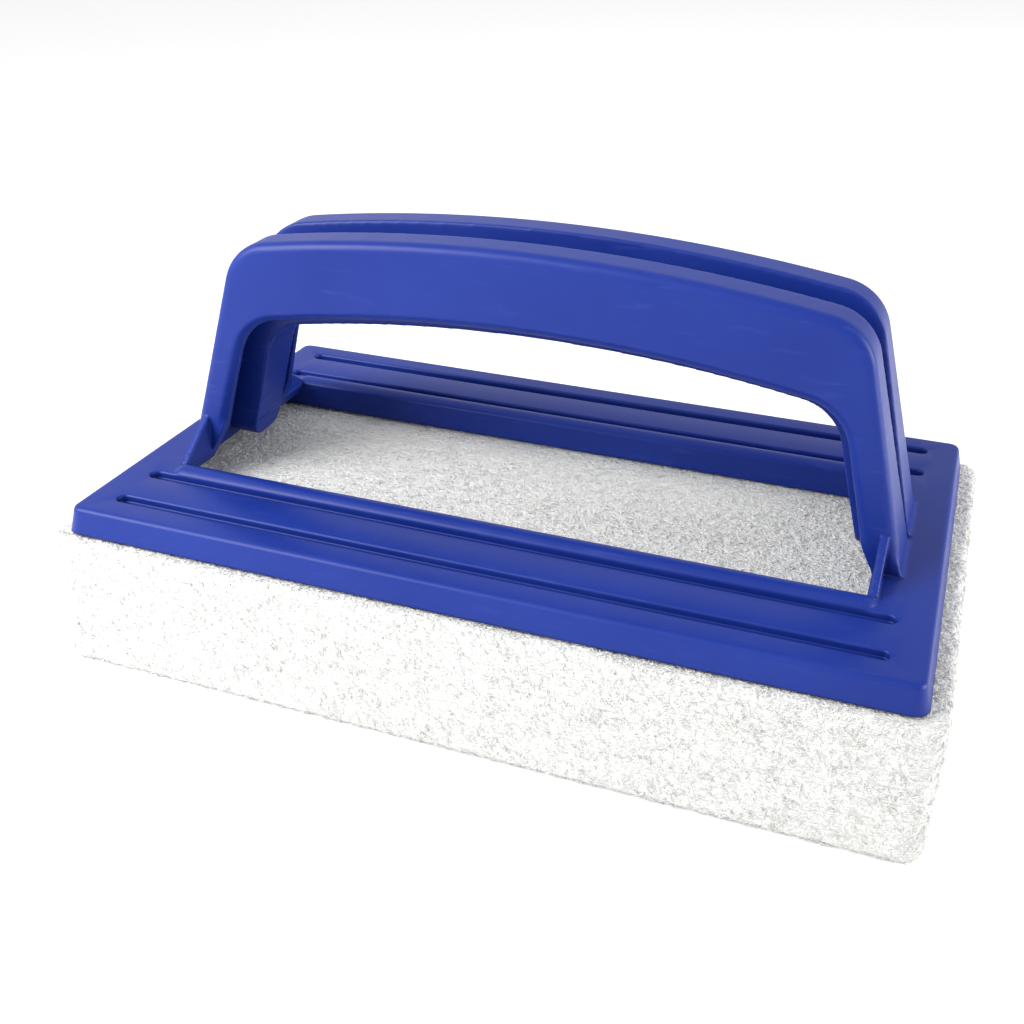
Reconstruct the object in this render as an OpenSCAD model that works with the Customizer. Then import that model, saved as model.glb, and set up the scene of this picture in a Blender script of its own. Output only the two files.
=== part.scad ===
// Hand brush for pool walls: a moulded holder with an arched handle and a window in its base plate,
// and a thick fibre pad that two strips of hook tape hold under it.
// The origin is under the middle of the pad, X runs along the handle and Z is up.

/* [Pad] */
// Length of the pad along X
pad_l = 159; // [154:0.2:162]
// Width of the pad along Y
pad_w = 95.4; // [93:0.2:100]
// Thickness of the pad
pad_h = 27; // [15:0.5:40]
// Radius of the pad's upright corners
pad_corner_r = 4; // [4:0.5:8]
// Radius of the pad's bottom edges
pad_edge_r = 2; // [1:0.5:4]
// Gap between the pad and the holder
seat_gap = 0.2; // [0.1:0.05:0.5]

/* [Base plate] */
// Length of the plate's top face
plate_l = 150; // [149:0.5:154]
// Width of the plate's top face
plate_w = 88.6; // [87:0.1:91]
// Radius of the plate's upright corners at the top
plate_corner_r = 1.8; // [1.8:0.1:6]
// Radius of the plate's top edge
plate_edge_r = 1; // [0.5:0.1:1]
// Height of the skirt, from its lower edge to the plate's top face
skirt_h = 4.9; // [4.5:0.1:7]
// How far the skirt spreads outwards at its lower edge
skirt_flare = 1.2; // [1.2:0.1:1.6]
// Thickness of the plate's skin and of the handle's outer skin
skin = 2.5; // [2:0.1:2.8]
// Thickness of the skirt at its lower edge
skirt_wall = 2.6; // [2:0.1:3]

/* [Window] */
// Length of the window at the plate's top face
window_l = 127.6; // [124:0.2:128.4]
// Width of the window at the plate's top face
window_w = 44; // [42:0.2:44.6]
// Width of the window at the skirt's lower edge
window_foot_w = 43.4; // [41:0.2:44]
// Thickness of the walls along the window's long sides
window_wall = 2.2; // [1.6:0.1:2.4]
// Height of the bead along each long side
rim_h = 1; // [0.6:0.1:1.2]
// Width of that bead
rim_w = 4.2; // [2:0.1:4.4]
// Length of that bead
rim_l = 132.6; // [128:0.2:134]

/* [Grooves] */
// Length of the decorative grooves
groove_l = 138.4; // [120:0.2:142]
// Depth of the grooves
groove_depth = 1.4; // [0.4:0.1:1.4]
// Distance from the middle line to the inner grooves
inner_groove_y = 27.6; // [26.4:0.1:29]
// Width of the inner grooves
inner_groove_w = 2.7; // [1:0.1:3]
// Distance from the middle line to the outer grooves
outer_groove_y = 38; // [33:0.1:39.5]
// Width of the outer grooves
outer_groove_w = 2.6; // [1:0.1:3]

/* [Handle] */
// Height of the handle above the plate
handle_h = 46.3; // [42:0.1:52]
// Length of the handle where its legs meet the plate
foot_l = 137.2; // [136:0.2:137.6]
// How far the legs lean inwards, in degrees
leg_lean = 15; // [14:0.25:16]
// Radius of the grip's arched top
arch_r = 330; // [300:5:350]
// Radius of the handle's outer corners
corner_r = 10; // [8:0.5:11]
// Width of the handle across its faces at the plate
foot_w = 28.8; // [28:0.2:32]
// Width of the handle across its faces at its top
top_w = 22.4; // [21:0.2:24]
// Width of a leg's side walls along X
leg_t = 6.2; // [5.4:0.1:6.4]
// Height of the grip's side walls
grip_t = 14.1; // [12.6:0.1:14.4]
// Thickness of the side walls
face_wall = 2.4; // [2:0.1:2.8]
// Radius where a leg's outer face meets the plate
foot_fillet_r = 1.2; // [0.5:0.1:3]

/* [Channel] */
// Width of the channel along the top of the handle
channel_top_w = 8.4; // [6:0.2:8.6]
// Width of the channel where it ends at the plate
channel_foot_w = 1.6; // [1:0.2:3]
// Width of the channel's box, seen from inside the handle, at its foot
box_foot_w = 9.6; // [9.4:0.2:10.4]
// Width of the channel's box at the top of the handle
box_top_w = 11; // [10.8:0.2:12]
// How far the box stands beyond a leg's side walls
box_out = 2.4; // [1:0.2:4]
// How far the box hangs below the grip's side walls
box_down = 3; // [2:0.1:4]
// Thickness of the channel's floor
box_floor = 2.2; // [1.6:0.1:2.6]

/* [Gussets] */
// Thickness of the four gussets
gusset_t = 1.4; // [1:0.1:1.6]
// Distance from the middle to each gusset along X
gusset_x = 64.9; // [64.4:0.1:65]
// Height of the gussets at the leg
gusset_h = 7.2; // [4:0.2:7.6]
// How far the gussets reach over the beads, from the window's edge
gusset_reach = 0.8; // [0.6:0.1:1.3]

/* [Hook tape] */
// Length of the hook strips
strip_l = 136; // [60:1:142]
// Width of the hook strips
strip_w = 15.6; // [10:0.2:16]
// Thickness of the foam tape behind each strip
tape_t = 0.8; // [0.5:0.1:1]
// Thickness of a strip's woven backing
backing_t = 0.5; // [0.3:0.1:0.7]
// Rows of hooks on each strip
hook_rows = 12; // [6:1:14]

/* [Hidden] */
$fa = 1;
$fs = 0.4;
// Extra length on cutting shapes, so that no two faces coincide
cut = 1;
skirt_z = pad_h + seat_gap;
plate_z = skirt_z + skirt_h;
recess_depth = skirt_h - skin;
// Inner faces of the recess under the plate
recess_l = plate_l + 2 * (skirt_flare - skirt_wall);
recess_w = plate_w + 2 * (skirt_flare - skirt_wall);
// Middle of each rail's recess, between the window's wall and the skirt
rail_y = (window_foot_w / 2 + window_wall + recess_w / 2) / 2;
// Radius of each inner arch, and of its corners
opening_r = 290;
opening_corner_r = 9.5;
box_r = 285;
box_corner_r = 9;
hollow_corner_r = corner_r - skin;
// Radius at the lower corners of the channel's box, and its lowest point over the plate
box_foot_r = 3;
box_foot_z = -0.8;
// The leg walls' inner edge spreads outwards in one straight line, from this height over the plate
// down through the window's ends
flare_h = 5;
flare_slope = (window_l / 2 - leg_x(flare_h, leg_t)) / flare_h;
// Radius of the bead's round top
rim_r = (rim_w ^ 2 / 4 + rim_h ^ 2) / (2 * rim_h);
hook_pitch = strip_w / hook_rows;
hook_w = 0.4;
hook_h = recess_depth - tape_t - backing_t;

// X of a leg's outer face at height z over the plate, set in by off
function leg_x(z, off = 0) = foot_l / 2 - off - z * tan(leg_lean);

// X of the window's end at height z over the plate
function end_x(z) = window_l / 2 - flare_slope * z;

// Half the handle's width at height z over the plate
function face_y(z) = foot_w / 2 + (top_w - foot_w) / 2 * z / handle_h;

// Half of a width that goes evenly from foot, at the plate, to top, at the handle's top
function half_at(z, foot, top) = foot / 2 + (top - foot) / 2 * z / handle_h;

// Extrudes an XZ outline along Y, the same amount each way
module along_y(w) {
    rotate([90, 0, 0])
        linear_extrude(w, center = true) children();
}

// Extrudes a YZ outline along X, the same amount each way
module along_x(l) {
    rotate([90, 0, 90])
        linear_extrude(l, center = true) children();
}

// Flat-based outline, rounded at its top corners: half wide at the top, h tall and flared downwards.
// Its top is at 0.
module rounded_top_2d(half, h, r, flare) {
    lean = atan(flare / h);
    x = half + r * tan(lean) - r / cos(lean);
    for (side = [-1, 1])
        translate([side * x, -r]) circle(r);
    polygon([
        [-half - flare, -h], [half + flare, -h],
        [x + r * cos(lean), -r + r * sin(lean)], [x, 0],
        [-x, 0], [-x - r * cos(lean), -r + r * sin(lean)]
    ]);
}

// Block with rounded top edges and upright corners. l and w are its size at the top, which is at z = 0.
module rounded_block(l, w, h, corner, edge, flare) {
    along_y(w - 2 * corner) rounded_top_2d(l / 2, h, edge, flare);
    along_x(l - 2 * corner) rounded_top_2d(w / 2, h, edge, flare);
    for (x = [-1, 1], y = [-1, 1])
        translate([x * (l / 2 - corner), y * (w / 2 - corner), 0])
            rotate_extrude()
                intersection() {
                    rounded_top_2d(corner, h, edge, flare);
                    translate([0, -h]) square([corner + flare + cut, h]);
                }
}

// Solid arch in the XZ plane, with height 0 at the plate: leaning legs set in by off, a domed top of
// radius dome whose peak is at height peak, and corners of radius r. It runs down to -drop.
module arch_2d(off, peak, dome, r, drop) {
    centre_z = peak - dome;
    // The corner's centre is r inside the leg line and r inside the dome
    line_x = leg_x(0, off) - r / cos(leg_lean);
    half_b = line_x * sin(leg_lean) + centre_z * cos(leg_lean);
    along = half_b + sqrt(half_b ^ 2 - line_x ^ 2 - centre_z ^ 2 + (dome - r) ^ 2);
    x = line_x - along * sin(leg_lean);
    z = along * cos(leg_lean);
    reach = (dome + cut) / (dome - r);
    for (side = [-1, 1])
        translate([side * x, z]) circle(r);
    polygon([
        [-leg_x(-drop, off), -drop], [leg_x(-drop, off), -drop],
        [x + r * cos(leg_lean), z + r * sin(leg_lean)], [x, z],
        [-x, z], [-x - r * cos(leg_lean), z + r * sin(leg_lean)]
    ]);
    intersection() {
        translate([0, centre_z]) circle(dome);
        polygon([
            [-x, z], [x, z],
            [x * reach, centre_z + (z - centre_z) * reach], [x * reach, peak + cut],
            [-x * reach, peak + cut], [-x * reach, centre_z + (z - centre_z) * reach]
        ]);
    }
}

// YZ outline that is foot wide at the plate and top wide at the handle's top, from z0 to z1
module draft_2d(foot, top, z0, z1) {
    polygon([
        [-half_at(z0, foot, top), z0], [half_at(z0, foot, top), z0],
        [half_at(z1, foot, top), z1], [-half_at(z1, foot, top), z1]
    ]);
}

// YZ outline of the channel's box, with round lower corners
module box_2d() {
    z = box_foot_z + box_foot_r;
    half = half_at(z, box_foot_w, box_top_w);
    draft_2d(box_foot_w, box_top_w, z, handle_h + cut);
    for (side = [-1, 1])
        translate([side * (half - box_foot_r), z]) circle(box_foot_r);
    translate([-half + box_foot_r, box_foot_z]) square([2 * (half - box_foot_r), box_foot_r]);
}

// The handle before it is hollowed
module handle_body() {
    intersection() {
        along_y(foot_w + 2 * cut) arch_2d(0, handle_h, arch_r, corner_r, skin);
        along_x(foot_l + 4 * cut) draft_2d(foot_w, top_w, -skin - cut, handle_h + cut);
    }
}

// Concave blend from each leg's outer face to the plate
module foot_fillets() {
    r = foot_fillet_r;
    x = leg_x(r) + r / cos(leg_lean);
    foot = [x - r * cos(leg_lean), r - r * sin(leg_lean)];
    for (side = [0, 1])
        mirror([side, 0, 0])
            intersection() {
                along_y(foot_w + 2 * cut)
                    difference() {
                        polygon([[x, 0], [x, -cut], [leg_x(-cut) - cut, -cut],
                                 [foot.x - cut, foot.y], foot]);
                        translate([x, r]) circle(r);
                    }
                along_x(foot_l + 4 * r) draft_2d(foot_w, top_w, -2 * cut, handle_h);
            }
}

// Channel along the outside of the handle, from plate to plate
module channel() {
    intersection() {
        along_y(channel_top_w + 2 * cut)
            difference() {
                translate([-foot_l / 2 - 2 * foot_fillet_r, 0])
                    square([foot_l + 4 * foot_fillet_r, handle_h + cut]);
                arch_2d(leg_t + box_out - box_floor, handle_h - grip_t - box_down + box_floor,
                        box_r, box_corner_r, cut);
            }
        along_x(foot_l + 4 * foot_fillet_r)
            draft_2d(channel_foot_w, channel_top_w, -cut, handle_h + 2 * cut);
    }
}

// Hollow between the side walls, round the channel's box
module hollow() {
    difference() {
        intersection() {
            along_y(foot_w)
                arch_2d(skin, handle_h - skin, arch_r - skin, hollow_corner_r, skirt_h + cut);
            along_x(foot_l)
                draft_2d(foot_w - 2 * face_wall, top_w - 2 * face_wall, -skirt_h - cut, handle_h);
        }
        along_x(foot_l + 2 * cut) box_2d();
    }
}

// Window through the plate. Its sloping ends run on up the inside of the legs' feet.
module window() {
    half_top = window_w / 2;
    half_foot = window_foot_w / 2;
    low = -skirt_h - cut;
    intersection() {
        along_x(foot_l)
            polygon([[-half_foot, low], [half_foot, low], [half_foot, -skirt_h], [half_top, 0],
                     [half_top, flare_h], [-half_top, flare_h], [-half_top, 0],
                     [-half_foot, -skirt_h]]);
        along_y(window_w + 2 * cut)
            polygon([[-end_x(low), low], [end_x(low), low],
                     [end_x(flare_h), flare_h], [-end_x(flare_h), flare_h]]);
    }
}

// The gap that fingers pass through, and the window below it, round the channel's box
module openings() {
    difference() {
        union() {
            window();
            along_y(foot_w + 4 * cut)
                arch_2d(leg_t, handle_h - grip_t, opening_r, opening_corner_r, 0);
        }
        along_x(foot_l + 2 * cut) box_2d();
    }
    along_y(foot_w + 4 * cut)
        arch_2d(leg_t + box_out, handle_h - grip_t - box_down, box_r, box_corner_r,
                skirt_h + cut);
}

// Recess under the plate, apart from the two walls along the window
module recess() {
    difference() {
        translate([-recess_l / 2, -recess_w / 2, -skirt_h - cut])
            cube([recess_l, recess_w, recess_depth + cut]);
        for (side = [-1, 1])
            translate([-recess_l / 2 - cut,
                       side * (window_foot_w + window_wall) / 2 - window_wall / 2,
                       -skirt_h - 2 * cut])
                cube([recess_l + 2 * cut, window_wall, recess_depth + 4 * cut]);
    }
}

// Long groove with round ends in the plate's top face
module groove(y, w) {
    for (side = [-1, 1])
        translate([0, side * y, -groove_depth])
            linear_extrude(groove_depth + rim_h) {
                square([groove_l - w, w], center = true);
                for (end = [-1, 1])
                    translate([end * (groove_l - w) / 2, 0]) circle(w / 2);
            }
}

// Bead along each long side of the window, with round ends
module rims() {
    intersection() {
        for (side = [-1, 1])
            translate([0, side * (window_w + rim_w) / 2, rim_h - rim_r]) {
                rotate([0, 90, 0]) cylinder(r = rim_r, h = rim_l - 2 * rim_r, center = true);
                for (end = [-1, 1])
                    translate([end * (rim_l / 2 - rim_r), 0, 0]) sphere(rim_r);
            }
        translate([-rim_l / 2 - cut, -window_w, -cut])
            cube([rim_l + 2 * cut, 2 * window_w, rim_h + 2 * cut]);
    }
}

// Four fins that brace the legs, with their feet on top of the beads
module gussets() {
    foot_y = window_w / 2 + gusset_reach;
    foot_z = rim_h - rim_r + sqrt(rim_r ^ 2 - (rim_w / 2 - gusset_reach) ^ 2);
    for (x = [-1, 1], y = [0, 1])
        mirror([0, y, 0])
            translate([x * gusset_x, 0, 0])
                along_x(gusset_t)
                    polygon([[foot_y, -cut], [foot_y, foot_z],
                             [face_y(gusset_h), gusset_h],
                             [face_y(gusset_h) - cut, gusset_h],
                             [face_y(0) - cut, -cut]]);
}

module holder() {
    color("royalblue")
        translate([0, 0, plate_z])
            difference() {
                union() {
                    rounded_block(plate_l, plate_w, skirt_h, plate_corner_r, plate_edge_r,
                                  skirt_flare);
                    handle_body();
                    foot_fillets();
                    rims();
                    gussets();
                }
                channel();
                hollow();
                openings();
                recess();
                groove(inner_groove_y, inner_groove_w);
                groove(outer_groove_y, outer_groove_w);
            }
}

module pad() {
    color("white")
        mirror([0, 0, 1])
            rounded_block(pad_l, pad_w, pad_h, pad_corner_r, pad_edge_r, 0);
}

// Strip of hook tape: a woven backing with rows of hooks that point down
module hook_strip(side) {
    color("whitesmoke")
        translate([0, side * rail_y, skirt_z]) {
            translate([-strip_l / 2, -strip_w / 2, hook_h])
                cube([strip_l, strip_w, backing_t]);
            for (row = [0 : hook_rows - 1])
                translate([-strip_l / 2, (row + 0.5) * hook_pitch - strip_w / 2 - hook_w / 2, 0])
                    cube([strip_l, hook_w, hook_h + backing_t / 2]);
        }
}

// Foam tape between a hook strip and the plate
module foam_tape(side) {
    color("gainsboro")
        translate([-strip_l / 2, side * rail_y - strip_w / 2, skirt_z + hook_h + backing_t])
            cube([strip_l, strip_w, tape_t]);
}

pad();
holder();
hook_strip(-1);  // hook_strip_front
hook_strip(1);  // hook_strip_rear
foam_tape(-1);  // foam_tape_front
foam_tape(1);  // foam_tape_rear
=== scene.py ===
import math

import bmesh
import bpy
import numpy as np
from mathutils import Matrix, Vector, noise


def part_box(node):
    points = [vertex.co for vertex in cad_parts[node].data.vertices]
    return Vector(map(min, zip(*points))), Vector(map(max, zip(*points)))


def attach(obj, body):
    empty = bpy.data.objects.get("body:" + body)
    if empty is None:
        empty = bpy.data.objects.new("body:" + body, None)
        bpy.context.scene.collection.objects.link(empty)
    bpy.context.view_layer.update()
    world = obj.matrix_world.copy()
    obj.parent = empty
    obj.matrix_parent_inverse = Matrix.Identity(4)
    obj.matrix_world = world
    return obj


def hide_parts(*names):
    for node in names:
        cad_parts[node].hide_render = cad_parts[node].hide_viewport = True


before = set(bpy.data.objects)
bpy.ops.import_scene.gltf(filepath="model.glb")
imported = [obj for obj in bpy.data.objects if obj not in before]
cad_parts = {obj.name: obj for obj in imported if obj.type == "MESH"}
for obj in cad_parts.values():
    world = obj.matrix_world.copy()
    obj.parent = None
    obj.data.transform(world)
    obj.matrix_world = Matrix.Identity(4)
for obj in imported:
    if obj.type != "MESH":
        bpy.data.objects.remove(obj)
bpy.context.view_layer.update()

# Lengths below are in millimetres, unless a name or a comment says otherwise
MM = 0.001
SEED = 7
# Points this close together become one, and slopes are taken over twice this step
WELD = 0.001
PROBE = 0.05

# The holder's main sizes, as in the CAD. Heights are over the plate's top face, but the
# skirt's is from the holder's lowest face up to the plate's top.
SKIRT_H = 4.9
HANDLE_H = 46.3
GRIP_T, LEG_T = 14.1, 6.2
FOOT_HALF = 68.6
LEG_LEAN = math.radians(15)
FOOT_W, TOP_W = 28.8, 22.4
WINDOW_HALF, FLARE_H = 63.8, 5.0
# An arch is its inset from the feet, its peak, its dome's radius and its corners' radius
ARCH = (0.0, HANDLE_H, 330.0, 10.0)
GAP = (LEG_T, HANDLE_H - GRIP_T, 290.0, 9.5)

# The holder, as moulded. A change to the handle fades in from its FROM height to its FULL
# one. SLACK is how far outside the plastic a point may lie and still be moved, and for the
# bevel it is a share of the bevel's size.
GRID_DEPTH = 9
GRID_SHARE = 0.85
SOFTENING = 0.6
EDGE_ROUNDS = 1
HANDLE_ROUNDS = 3
HANDLE_FROM, HANDLE_FULL = 8.5, 12.5
FLANGE_ROUND = 1.6
FLANGE_FROM, FLANGE_FULL = 0.5, 4.0
FLANGE_SLACK = 0.2
BEVEL_BACK, BEVEL_DEEP = 1.3, 1.1
BEVEL_FROM, BEVEL_FULL = 3.5, 7.5
BEVEL_SLACK = 0.1
MOULDING_FACES = 190_000

# The fibre pad
PAD_CORNER = 4.0
PAD_EDGE_LOW, PAD_EDGE_TOP = 2.0, 1.5
PAD_GRID = 0.68
PAD_INSET = 0.35
LUMP_DEPTH, LUMP_SIZE = 0.08, 7.0
PIT_DEPTH, PIT_SIZE = 0.20, 0.8

# Its strands. Curl, jitter and wave are in radians a step. Sink, swing and loose rise are
# heights over the pad's outline. A few strands come loose, from a share of their length on.
FIBRE_RADIUS = 0.06
FIBRE_STEP = 0.38
FIBRE_POINTS = 5
FIBRE_SIDES = 3
FIBRE_CURL, FIBRE_JITTER, FIBRE_WAVE = 1.0, 0.35, 1.1
FIBRE_SINK = (-0.40, -0.05)
FIBRE_SWING = (0.05, 0.3)
LOOSE_SHARE, LOOSE_FROM = 0.05, 0.55
LOOSE_RISE = (0.1, 0.4)
FIBRES_PER_MM2, QUICK_FIBRES_PER_MM2 = 1.0, 0.1
# The faces that each layer of strands covers, as (axis, side), and its share of the density.
# The wide faces have two half layers each, so that no piece has over 200,000 faces.
LAYERS = {
    "top_1": ([(2, 1)], 0.5),
    "top_2": ([(2, 1)], 0.5),
    "bottom_1": ([(2, -1)], 0.5),
    "bottom_2": ([(2, -1)], 0.5),
    "front": ([(1, -1)], 1.0),
    "rear": ([(1, 1)], 1.0),
    "ends": ([(0, -1), (0, 1)], 1.0),
}

# The hook tape and the foam tape
BACKING_T = 0.5
BACKING_EDGE, FOAM_EDGE = 0.15, 0.12
HOOK_ROWS = 12
HOOK_PITCH = 1.3
HOOK_STAGGER = 0.2
HOOK_RADIUS = 0.09
HOOK_SIDES = 5
HOOK_ROOT = 0.1
HOOK_CURL = 0.26
HOOK_CURL_DEGREES = (0, 45, 90, 135, 180, 215)
HOOK_STRAY = 0.03

# The camera. Its angles are in degrees.
CAMERA_LENS, CAMERA_SENSOR = 43.8, 36
CAMERA_TURN, CAMERA_DOWN, CAMERA_ROLL = 20.0, 28.65, 0.79
CAMERA_PLACE = (68.2, -203.2, 140.6)

# The world, brighter on the left at -X than on the right, and the floor
WORLD_LEFT, WORLD_RIGHT = 1.2, 0.4
FLOOR_HALF = 4000.0
FLOOR_GREY, FLOOR_GLOW = 0.88, 0.17


def box_mm(node):
    """A CAD node's lowest and highest corners, in millimetres."""
    low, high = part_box(node)
    return np.array(low) / MM, np.array(high) / MM


PAD_LOW, PAD_HIGH = box_mm("pad")
PAD_HALF = (PAD_HIGH - PAD_LOW) / 2
PAD_MID = (PAD_HIGH + PAD_LOW) / 2
PLATE_TOP = box_mm("holder")[0][2] + SKIRT_H


# ---------------------------------------------------------------- meshes

def points_of(mesh):
    co = np.empty(len(mesh.vertices) * 3, np.float32)
    mesh.vertices.foreach_get("co", co)
    return co.reshape(-1, 3).astype(float)


def set_points(mesh, points):
    mesh.vertices.foreach_set("co", points.astype(np.float32).ravel())
    mesh.update()


def mesh_from(name, points, faces):
    """A mesh from arrays: points in millimetres, and faces with the same number of corners."""
    mesh = bpy.data.meshes.new(name)
    mesh.vertices.add(len(points))
    mesh.vertices.foreach_set("co", (points * MM).astype(np.float32).ravel())
    mesh.loops.add(faces.size)
    mesh.loops.foreach_set("vertex_index", faces.astype(np.int32).ravel())
    mesh.polygons.add(len(faces))
    starts = np.arange(0, faces.size, faces.shape[1], dtype=np.int32)
    mesh.polygons.foreach_set("loop_start", starts)
    mesh.update(calc_edges=True)
    return mesh


def with_modifier(mesh, kind, **settings):
    """The mesh that a modifier makes of this one, which is used up."""
    worker = bpy.data.objects.new("worker", mesh)
    bpy.context.scene.collection.objects.link(worker)
    modifier = worker.modifiers.new("work", kind)
    for name, value in settings.items():
        setattr(modifier, name, value)
    graph = bpy.context.evaluated_depsgraph_get()
    made = bpy.data.meshes.new_from_object(worker.evaluated_get(graph))
    bpy.data.objects.remove(worker)
    bpy.data.meshes.remove(mesh)
    return made


def remeshed(node, **settings):
    """A copy of a CAD node in millimetres, as an even grid of small faces."""
    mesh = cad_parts[node].data.copy()
    mesh.materials.clear()
    mesh.transform(Matrix.Scale(1 / MM, 4))
    welded = bmesh.new()
    welded.from_mesh(mesh)
    bmesh.ops.remove_doubles(welded, verts=welded.verts, dist=WELD)
    welded.to_mesh(mesh)
    welded.free()
    return with_modifier(mesh, "REMESH", **settings)


def soften(mesh, rounds, weights):
    """Moves each point towards the middle of its neighbours, as far as its weight says."""
    points = points_of(mesh)
    ends = np.empty(len(mesh.edges) * 2, np.int32)
    mesh.edges.foreach_get("vertices", ends)
    a, b = ends[0::2], ends[1::2]
    count = np.bincount(ends, minlength=len(points))
    for _ in range(rounds):
        for axis in range(3):
            values = points[:, axis]
            total = np.bincount(a, values[b], len(points))
            total += np.bincount(b, values[a], len(points))
            points[:, axis] = values + SOFTENING * weights * (total / count - values)
    set_points(mesh, points)


def smoothstep(x, start, end):
    t = np.clip((x - start) / (end - start), 0, 1)
    return t * t * (3 - 2 * t)


def piece(name, mesh, body, slot, material, *nodes):
    """A finished piece on its body, which stands for the CAD nodes named."""
    made = bpy.data.objects.new(name, mesh)
    bpy.context.scene.collection.objects.link(made)
    mesh.materials.clear()
    mesh.materials.append(material)
    mesh.polygons.foreach_set("use_smooth", np.full(len(mesh.polygons), True))
    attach(made, body)
    if nodes:
        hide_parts(*nodes)
    return made


# ---------------------------------------------------------------- materials

class Nodes:
    """A material's node tree, written down as it is built."""

    def __init__(self, name):
        self.material = bpy.data.materials.new(name)
        self.material.use_nodes = True
        self.tree = self.material.node_tree
        self.shader = self.tree.nodes["Principled BSDF"]
        self.place = self.tree.nodes.new("ShaderNodeTexCoord").outputs["Object"]

    def add(self, kind, inputs=(), **settings):
        node = self.tree.nodes.new(kind)
        for name, value in settings.items():
            setattr(node, name, value)
        for socket, value in dict(inputs).items():
            if isinstance(value, bpy.types.NodeSocket):
                self.tree.links.new(value, node.inputs[socket])
            else:
                node.inputs[socket].default_value = value
        return node

    def maths(self, operation, a, b=0.0):
        return self.add("ShaderNodeMath", {0: a, 1: b}, operation=operation).outputs[0]

    def noise(self, scale, detail=2.0, rough=0.5, place=None, distortion=0.0):
        """Noise from about 0.3 to 0.7. The scale is in bumps per millimetre."""
        node = self.add("ShaderNodeTexNoise", {
            "Vector": place or self.place, "Scale": scale / MM, "Detail": detail,
            "Roughness": rough, "Distortion": distortion})
        return node.outputs["Fac"]

    def turned(self, angles, stretch):
        """The place, turned and then squeezed along each axis."""
        node = self.add("ShaderNodeMapping", {
            "Vector": self.place, "Rotation": [math.radians(a) for a in angles],
            "Scale": stretch})
        return node.outputs[0]

    def between(self, value, low, high, to_low=0.0, to_high=1.0):
        node = self.add("ShaderNodeMapRange", {
            "Value": value, "From Min": low, "From Max": high, "To Min": to_low,
            "To Max": to_high})
        return node.outputs[0]

    def mix(self, share, a, b):
        node = self.add("ShaderNodeMix", {0: share, 6: a, 7: b}, data_type="RGBA")
        return node.outputs[2]

    def bump(self, height, distance, strength=1.0, normal=None):
        """A normal from a height of 0 to 1, which stands for this many millimetres."""
        inputs = {"Height": height, "Distance": distance * MM, "Strength": strength}
        if normal:
            inputs["Normal"] = normal
        return self.add("ShaderNodeBump", inputs).outputs[0]

    def set(self, **inputs):
        for name, value in inputs.items():
            socket = self.shader.inputs[name.replace("_", " ")]
            if isinstance(value, bpy.types.NodeSocket):
                self.tree.links.new(value, socket)
            else:
                socket.default_value = value


def blue_plastic():
    """Moulded polypropylene: satin, slightly wavy, with a fine grain, faint rubbing marks and
    painted shade in its grooves and inner corners.
    """
    n = Nodes("blue_plastic")
    deep, bright = (0.005, 0.020, 0.182, 1), (0.007, 0.025, 0.206, 1)
    worn, painted_shade_blue = (0.07, 0.11, 0.42, 1), (0.002, 0.008, 0.08, 1)
    clouds = n.noise(0.03, 3)
    grain = n.noise(3.5, 2)
    waves = n.noise(0.12, 1)
    streaks = n.noise(0.9, 3, 0.6, n.turned((0, 0, 14), (0.12, 1, 1)))
    rubbed = n.between(streaks, 0.60, 0.72)
    colour = n.mix(n.between(clouds, 0.35, 0.65), deep, bright)
    colour = n.mix(n.maths("MULTIPLY", rubbed, 0.10), colour, worn)
    # Painted shade: an occlusion mask turns the blue to a deep shade blue in grooves, hollows and
    # inner corners, where little light reaches
    painted_nook_shade = n.add("ShaderNodeAmbientOcclusion", {"Distance": 2 * MM}, samples=8).outputs["AO"]
    colour = n.mix(n.between(painted_nook_shade, 0.35, 0.85), painted_shade_blue, colour)
    rough = n.between(clouds, 0.3, 0.7, 0.36, 0.44)
    rough = n.maths("ADD", rough, n.maths("MULTIPLY", rubbed, 0.08))
    normal = n.bump(waves, 0.25, 0.35)
    normal = n.bump(grain, 0.012, 0.6, normal)
    n.set(Base_Color=colour, Roughness=rough, Normal=normal, IOR=1.49, Specular_IOR_Level=0.22)
    return n.material


def fibre_pattern(n, scale, layers):
    """Crossing strands as thin lines, 1 on a strand and 0 beside it. A layer is three angles."""
    best = None
    for index, angles in enumerate(layers):
        place = n.turned(angles, (0.16, 1, 1))
        field = n.noise(scale * (1 + 0.13 * index), 1, 0.5, place, 0.4)
        away = n.maths("ABSOLUTE", n.maths("SUBTRACT", field, 0.5))
        best = away if best is None else n.maths("MINIMUM", best, away)
    return n.between(best, 0.0, 0.055, 1.0, 0.0)


def pad_mat():
    """The body of the pad under its loose fibres."""
    n = Nodes("pad_mat")
    layers = ((0, 0, 20), (60, 0, 95), (0, 70, 150), (40, 40, 60), (90, 20, 0))
    strands = fibre_pattern(n, 1.1, layers)
    # Painted shade: the pits get a deeper grey, except where a strand crosses them, as if the
    # fibres round them shaded them
    holes = n.between(n.noise(1.3, 2, 0.6), 0.34, 0.58)
    clouds = n.between(n.noise(0.06, 2), 0.35, 0.65)
    light = n.mix(clouds, (0.70, 0.70, 0.68, 1), (0.72, 0.72, 0.705, 1))
    shade = n.mix(holes, (0.67, 0.67, 0.65, 1), light)
    colour = n.mix(strands, shade, light)
    normal = n.bump(n.maths("ADD", strands, n.maths("MULTIPLY", holes, 1.5)), 0.16, 0.8)
    n.set(Base_Color=colour, Roughness=0.75, Normal=normal)
    return n.material


def fibre_nylon():
    """The loose fibres: translucent white strands, with a few duller ones."""
    n = Nodes("fibre_nylon")
    patch = n.between(n.noise(1.4, 2), 0.35, 0.65)
    colour = n.mix(patch, (0.70, 0.70, 0.68, 1), (0.74, 0.74, 0.725, 1))
    n.set(Base_Color=colour, Roughness=0.5, IOR=1.5)
    return n.material


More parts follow.
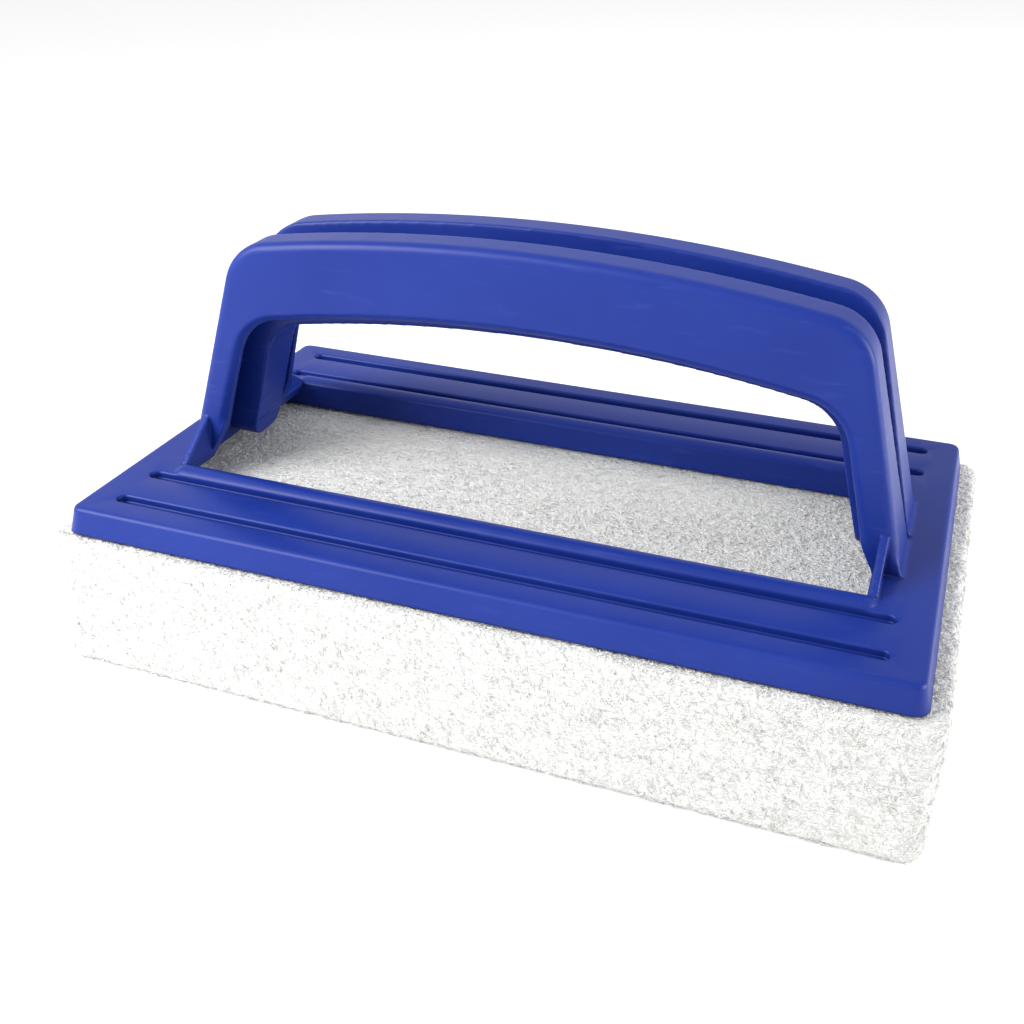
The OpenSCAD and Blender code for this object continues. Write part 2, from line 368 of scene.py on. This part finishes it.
def hook_nylon():
    """The hook tape: pale nylon with a fine weave."""
    n = Nodes("hook_nylon")
    tint = n.between(n.noise(0.4, 2), 0.35, 0.65)
    wave = {"Vector": n.place, "Scale": 1.6 / MM, "Distortion": 1.0}
    weave = n.add("ShaderNodeTexWave", wave, bands_direction="X").outputs["Fac"]
    colour = n.mix(tint, (0.62, 0.62, 0.60, 1), (0.74, 0.74, 0.72, 1))
    n.set(Base_Color=colour, Roughness=0.4, Normal=n.bump(weave, 0.08, 0.6))
    return n.material


def tape_foam():
    """The foam tape: dull, with fine cells."""
    n = Nodes("tape_foam")
    bubbles = {"Vector": n.place, "Scale": 3.5 / MM}
    cells = n.add("ShaderNodeTexVoronoi", bubbles).outputs["Distance"]
    colour = n.mix(n.between(cells, 0.1, 0.6), (0.45, 0.45, 0.43, 1), (0.66, 0.66, 0.64, 1))
    n.set(Base_Color=colour, Roughness=0.85, Normal=n.bump(cells, 0.10, 0.8))
    return n.material


# ---------------------------------------------------------------- the moulded holder

def leg_distance(x, z, inset):
    """How far points lie outside a leg's outer face, set in by this much."""
    return (np.abs(x) - FOOT_HALF + inset + z * math.tan(LEG_LEAN)) * math.cos(LEG_LEAN)


def arch_distance(x, z, arch):
    """How far points lie outside an arch of leaning legs, round corners and a domed top."""
    inset, peak, dome, corner = arch
    lean = (math.cos(LEG_LEAN), math.sin(LEG_LEAN))
    middle = peak - dome
    line = FOOT_HALF - inset - corner / lean[0]
    half = line * lean[1] + middle * lean[0]
    along = half + math.sqrt(half ** 2 - line ** 2 - middle ** 2 + (dome - corner) ** 2)
    corner_x, corner_z = line - along * lean[1], along * lean[0]
    beyond = np.arctan2(z - corner_z, np.abs(x) - corner_x)
    dome_from = math.atan2(corner_z - middle, corner_x)
    leg = leg_distance(x, z, inset)
    over = np.hypot(x, z - middle) - dome
    turn = np.hypot(np.abs(x) - corner_x, z - corner_z) - corner
    top = np.where(beyond < dome_from, turn, over)
    return np.where(beyond < LEG_LEAN, leg, top)


def handle_distance(x, z):
    """How far points lie outside the handle's outline."""
    return arch_distance(x, z, ARCH)


def gap_distance(x, z):
    """How far points lie outside the finger gap, whose feet spread to the window's ends."""
    foot = FOOT_HALF - GAP[0] - FLARE_H * math.tan(LEG_LEAN)
    spread = np.abs(x) - foot - (WINDOW_HALF - foot) * (1 - z / FLARE_H)
    return np.minimum(arch_distance(x, z, GAP), np.where(z < FLARE_H, spread, np.inf))


def gradient(distance, x, z):
    """The XZ direction in which a distance grows."""
    gx = distance(x + PROBE, z) - distance(x - PROBE, z)
    gz = distance(x, z + PROBE) - distance(x, z - PROBE)
    size = np.maximum(np.hypot(gx, gz), 1e-9)
    return gx / size, gz / size


def wall_depth(p, z):
    """How far points lie inside the handle's leaning outer faces."""
    return FOOT_W / 2 - (FOOT_W - TOP_W) / 2 * z / HANDLE_H - np.abs(p[:, 1])


def moved(p, direction, out, deep):
    """Points moved along an XZ direction, and into the wall."""
    shift = np.stack([direction[0] * out, -np.sign(p[:, 1]) * deep, direction[1] * out], 1)
    return p + shift


def round_flanges(p):
    """Rounds the handle's outer edges."""
    z = p[:, 2] - PLATE_TOP
    side = FLANGE_ROUND + handle_distance(p[:, 0], z)
    face = FLANGE_ROUND - wall_depth(p, z)
    reach = FLANGE_ROUND + FLANGE_SLACK
    here = (side > 0) & (face > 0) & (side < reach) & (face < reach)
    length = np.maximum(np.hypot(side, face), 1e-9)
    pull = np.where(here, np.minimum(FLANGE_ROUND / length - 1, 0), 0)
    pull *= smoothstep(z, FLANGE_FROM, FLANGE_FULL)
    return moved(p, gradient(handle_distance, p[:, 0], z), side * pull, -face * pull)


def bevel_gap(p):
    """Bevels the edge round the gap for the fingers, in both outer faces."""
    z = p[:, 2] - PLATE_TOP
    back = gap_distance(p[:, 0], z) / BEVEL_BACK
    deep = wall_depth(p, z) / BEVEL_DEEP
    here = (back > -BEVEL_SLACK) & (deep > -BEVEL_SLACK)
    size = 1 / BEVEL_BACK ** 2 + 1 / BEVEL_DEEP ** 2
    cut = np.where(here, np.maximum(1 - back - deep, 0), 0) / size
    cut *= smoothstep(z, BEVEL_FROM, BEVEL_FULL)
    return moved(p, gradient(gap_distance, p[:, 0], z), cut / BEVEL_BACK, cut / BEVEL_DEEP)


def moulding():
    """The CAD holder with the soft edges that a mould leaves, softest on the handle."""
    grid = {"mode": "SHARP", "octree_depth": GRID_DEPTH, "scale": GRID_SHARE}
    mesh = remeshed("holder", use_remove_disconnected=False, **grid)
    set_points(mesh, bevel_gap(round_flanges(points_of(mesh))))
    height = points_of(mesh)[:, 2] - PLATE_TOP
    grip = smoothstep(height, HANDLE_FROM, HANDLE_FULL)
    soften(mesh, EDGE_ROUNDS, np.ones(len(height)))
    soften(mesh, HANDLE_ROUNDS, grip)
    faces = 2 * len(mesh.polygons)
    mesh = with_modifier(mesh, "TRIANGULATE")
    mesh = with_modifier(mesh, "DECIMATE", ratio=min(1, MOULDING_FACES / faces))
    mesh.transform(Matrix.Scale(MM, 4))
    return mesh


# ---------------------------------------------------------------- the fibre pad

def pad_distance(p):
    """How far points lie outside the pad's outline. Its bottom edges are its rounder ones."""
    flat = np.abs(p[:, :2] - PAD_MID[:2]) - (PAD_HALF[:2] - PAD_CORNER)
    side = np.hypot(*np.maximum(flat, 0).T) + np.minimum(flat.max(1), 0) - PAD_CORNER
    height = p[:, 2] - PAD_MID[2]
    edge = np.where(height < 0, PAD_EDGE_LOW, PAD_EDGE_TOP)
    over = np.stack([side, np.abs(height) - PAD_HALF[2]], 1) + edge[:, None]
    return np.hypot(*np.maximum(over, 0).T) + np.minimum(over.max(1), 0) - edge


def pad_normal(p):
    """The direction straight out of the pad at each point."""
    out = np.empty_like(p)
    for axis in range(3):
        move = np.zeros(3)
        move[axis] = PROBE
        out[:, axis] = pad_distance(p + move) - pad_distance(p - move)
    return out / np.maximum(np.linalg.norm(out, axis=1), 1e-9)[:, None]


def onto_pad(p, depth=0.0):
    """Moves points to this depth under the pad's outline."""
    for _ in range(3):
        p = p - pad_normal(p) * (pad_distance(p) + depth)[:, None]
    return p


def pad_relief(p):
    """How far the matted fibres' lumps and pits lift the surface at a point."""
    at = Vector(p)
    return LUMP_DEPTH * noise.noise(at / LUMP_SIZE) + PIT_DEPTH * noise.noise(at / PIT_SIZE)


def pad_body():
    """The pad's block, lumpy and pitted, under its strands."""
    mesh = remeshed("pad", mode="VOXEL", voxel_size=PAD_GRID)
    points = onto_pad(points_of(mesh), PAD_INSET)
    relief = np.array([pad_relief(p) for p in points])
    points += pad_normal(points) * relief[:, None]
    set_points(mesh, points)
    mesh = with_modifier(mesh, "TRIANGULATE")
    mesh.transform(Matrix.Scale(MM, 4))
    return mesh


def strewn(rng, count, face):
    """Random points on one of the pad's faces. A face is (axis, side)."""
    axis, side = face
    p = PAD_MID + rng.uniform(-1, 1, (count, 3)) * PAD_HALF
    p[:, axis] = PAD_MID[axis] + side * PAD_HALF[axis]
    return onto_pad(p)


def fibres(name, rng, faces, density):
    """Thin curling strands in the pad's surface, at a density in strands per square mm."""
    starts = []
    for face in faces:
        area = 4 * np.prod(np.delete(PAD_HALF, face[0]))
        starts.append(strewn(rng, int(density * area), face))
    at = np.concatenate(starts)
    count = len(at)
    ahead = np.cross(pad_normal(at), rng.normal(size=(count, 3)))
    curl = rng.normal(0, FIBRE_CURL, count)
    sink = rng.uniform(*FIBRE_SINK, count)
    swing = rng.uniform(*FIBRE_SWING, count)
    phase = rng.uniform(0, 2 * math.pi, count)
    loose = (rng.random(count) < LOOSE_SHARE) * rng.uniform(*LOOSE_RISE, count)
    lines, outs = [], []
    for step in range(FIBRE_POINTS):
        out = pad_normal(at)
        ahead -= (ahead * out).sum(1)[:, None] * out
        ahead /= np.linalg.norm(ahead, axis=1)[:, None]
        bend = curl + rng.normal(0, FIBRE_JITTER, count)
        ahead = ahead * np.cos(bend)[:, None] + np.cross(out, ahead) * np.sin(bend)[:, None]
        rise = sink + swing * np.sin(phase + FIBRE_WAVE * step)
        rise += loose * smoothstep(step, FIBRE_POINTS * LOOSE_FROM, FIBRE_POINTS - 1)
        strand = at + out * rise[:, None]
        strand[:, 2] = np.clip(strand[:, 2], PAD_LOW[2] + FIBRE_RADIUS, PAD_HIGH[2])
        lines.append(strand)
        outs.append(out)
        at = onto_pad(at + ahead * FIBRE_STEP)
    return tubes(name, np.stack(lines, 1), np.stack(outs, 1), FIBRE_RADIUS, FIBRE_SIDES)


def tubes(name, lines, outs, radius, sides):
    """Closed round strands along lines of points. outs says which way is up at each point."""
    count, length = lines.shape[:2]
    along = np.gradient(lines, axis=1)
    along /= np.linalg.norm(along, axis=2)[..., None]
    across = np.cross(along, outs)
    across /= np.linalg.norm(across, axis=2)[..., None]
    up = np.cross(across, along)
    angles = 2 * math.pi * np.arange(sides) / sides
    cosine, sine = np.cos(angles)[:, None], np.sin(angles)[:, None]
    ring = across[:, :, None] * cosine + up[:, :, None] * sine
    points = (lines[:, :, None] + radius * ring).reshape(-1, 3)
    base = np.arange(count)[:, None, None] * length * sides
    step = np.arange(length - 1)[:, None] * sides
    corner = np.arange(sides)
    after = (corner + 1) % sides
    first = base + step + corner
    second = base + step + after
    quads = np.stack([first, second, second + sides, first + sides], -1).reshape(-1, 4)
    walls = np.concatenate([quads[:, [0, 1, 2]], quads[:, [0, 2, 3]]])
    fan = np.stack([np.zeros(sides - 2, int), np.arange(2, sides), np.arange(1, sides - 1)], 1)
    start = base + fan
    end = base + (length - 1) * sides + fan[:, ::-1]
    caps = np.concatenate([start.reshape(-1, 3), end.reshape(-1, 3)])
    return mesh_from(name, points, np.concatenate([walls, caps]))


# ---------------------------------------------------------------- hook tape

def slab(low, high, edge):
    """A thin slab with rounded edges, between two corners."""
    mesh = bmesh.new()
    bmesh.ops.create_cube(mesh, size=1)
    size = Vector(high - low)
    for v in mesh.verts:
        v.co = Vector((low + high) / 2) + Vector(a * b for a, b in zip(v.co, size))
    bmesh.ops.bevel(mesh, geom=mesh.edges[:], offset=edge, segments=3, profile=0.5, affect="EDGES")
    bmesh.ops.triangulate(mesh, faces=mesh.faces[:])
    points = np.array([v.co for v in mesh.verts])
    faces = np.array([[v.index for v in f.verts] for f in mesh.faces])
    mesh.free()
    return points, faces


def hook_outline(drop):
    """One hook's middle line, as (along, up) from its foot: a shank that ends in a curl."""
    shank = drop - HOOK_CURL
    line = [(0, HOOK_ROOT), (0, -0.5 * shank)]
    for angle in np.radians(HOOK_CURL_DEGREES):
        line.append((HOOK_CURL * (1 - math.cos(angle)), -shank - HOOK_CURL * math.sin(angle)))
    return np.array(line)


def hook_tape(name, node, rng):
    """A strip's backing with its rows of small hooks, which curl over by turns to either end."""
    low, high = box_mm(node)
    foot_z = high[2] - BACKING_T
    points, faces = slab(np.array([*low[:2], foot_z]), high, BACKING_EDGE)
    backing = mesh_from(name + "_backing", points, faces)
    columns = int((high[0] - low[0]) / HOOK_PITCH)
    row, column = np.meshgrid(np.arange(HOOK_ROWS), np.arange(columns), indexing="ij")
    row, column = row.ravel(), column.ravel()
    count = len(row)
    way = np.where(row % 2 == 0, 1.0, -1.0)
    foot = np.stack([
        low[0] + (column + 0.5 + HOOK_STAGGER * way) * (high[0] - low[0]) / columns,
        low[1] + (row + 0.5) * (high[1] - low[1]) / HOOK_ROWS,
        np.full(count, foot_z)], 1)
    shape = hook_outline(foot_z - low[2] - HOOK_RADIUS)
    lines = np.zeros((count, len(shape), 3)) + foot[:, None]
    lines[:, :, 0] += way[:, None] * shape[:, 0]
    lines[:, :, 2] += shape[:, 1]
    lines[:, 2:, 1] += rng.normal(0, HOOK_STRAY, (count, 1))
    outs = np.zeros_like(lines)
    outs[..., 1] = 1
    hooks = tubes(name + "_hooks", lines, outs, HOOK_RADIUS, HOOK_SIDES)
    return joined(name, backing, hooks)


def joined(name, *meshes):
    """Several meshes as one."""
    whole = bmesh.new()
    for mesh in meshes:
        whole.from_mesh(mesh)
        bpy.data.meshes.remove(mesh)
    made = bpy.data.meshes.new(name)
    whole.to_mesh(made)
    whole.free()
    return made


def foam_tape(name, node):
    """The foam tape that fills a CAD node's box."""
    low, high = box_mm(node)
    points, faces = slab(low, high, FOAM_EDGE)
    return mesh_from(name, points, faces)


# ---------------------------------------------------------------- camera and light

def make_camera():
    data = bpy.data.cameras.new("camera")
    data.sensor_width = CAMERA_SENSOR
    data.lens = CAMERA_LENS
    camera = bpy.data.objects.new("camera", data)
    turn = Matrix.Rotation(math.radians(CAMERA_TURN), 4, "Z")
    tilt = Matrix.Rotation(math.radians(90 - CAMERA_DOWN), 4, "X")
    roll = Matrix.Rotation(math.radians(CAMERA_ROLL), 4, "Z")
    place = Matrix.Translation(Vector(CAMERA_PLACE) * MM)
    camera.matrix_world = place @ turn @ tilt @ roll
    bpy.context.scene.collection.objects.link(camera)
    bpy.context.scene.camera = camera


def make_softbox(name, place, target, size, power):
    """A rectangular lamp that faces a target. Place, target and size are in metres."""
    data = bpy.data.lights.new(name, "AREA")
    data.shape = "RECTANGLE"
    data.size, data.size_y = size
    data.energy = power
    lamp = bpy.data.objects.new(name, data)
    lamp.location = place
    ahead = Vector(target) - Vector(place)
    lamp.rotation_euler = ahead.to_track_quat("-Z", "Y").to_euler()
    bpy.context.scene.collection.objects.link(lamp)


def make_floor():
    corners = np.array([(-1, -1, 0), (1, -1, 0), (1, 1, 0), (-1, 1, 0)]) * FLOOR_HALF
    mesh = mesh_from("floor", corners, np.array([[0, 1, 2, 3]]))
    floor = bpy.data.objects.new("floor", mesh)
    bpy.context.scene.collection.objects.link(floor)
    paint = Nodes("floor")
    paint.set(Base_Color=(FLOOR_GREY, FLOOR_GREY, FLOOR_GREY, 1), Roughness=0.9,
              Emission_Color=(1, 1, 1, 1), Emission_Strength=FLOOR_GLOW)
    mesh.materials.append(paint.material)


def make_world():
    """White light from all round, which fades from left to right."""
    world = bpy.data.worlds.new("world")
    world.use_nodes = True
    tree = world.node_tree
    around = tree.nodes.new("ShaderNodeTexCoord").outputs["Generated"]
    parts = tree.nodes.new("ShaderNodeSeparateXYZ")
    tree.links.new(around, parts.inputs[0])
    fade = tree.nodes.new("ShaderNodeMapRange")
    tree.links.new(parts.outputs["X"], fade.inputs["Value"])
    span = {"From Min": -1, "From Max": 1, "To Min": WORLD_LEFT, "To Max": WORLD_RIGHT}
    for name, value in span.items():
        fade.inputs[name].default_value = value
    tree.links.new(fade.outputs[0], tree.nodes["Background"].inputs["Strength"])
    tree.nodes["Background"].inputs["Color"].default_value = (1, 1, 1, 1)
    bpy.context.scene.world = world


def make_lights():
    make_softbox("key", (-0.25, -0.22, 0.26), (-0.05, 0, 0.04), (0.22, 0.22), 2.2)
    make_softbox("fill", (0.9, 0.1, 0.3), (0.05, 0, 0.03), (0.6, 0.5), 10.0)


# ---------------------------------------------------------------- the brush

bpy.context.scene.view_settings.view_transform = "Standard"
make_camera()
make_floor()
make_world()
make_lights()

rng = np.random.default_rng(SEED)
piece("holder_moulding", moulding(), "holder", "holder_plastic", blue_plastic(), "holder")
pad = piece("fibre_pad", pad_body(), "pad", "pad_fibre", pad_mat(), "pad")
strands = fibre_nylon()
density = FIBRES_PER_MM2
for side, (faces, share) in LAYERS.items():
    mesh = fibres("pad_fibres_" + side, rng, faces, density * share)
    piece("pad_fibres_" + side, mesh, "pad", "pad_fibre", strands)
hooks, foam = hook_nylon(), tape_foam()
for end in ("front", "rear"):
    tape = hook_tape("hook_tape_" + end, "hook_strip_" + end, rng)
    piece("hook_tape_" + end, tape, "holder", "hook_nylon", hooks, "hook_strip_" + end)
    backing = foam_tape("foam_backing_" + end, "foam_tape_" + end)
    piece("foam_backing_" + end, backing, "holder", "tape_foam", foam, "foam_tape_" + end)
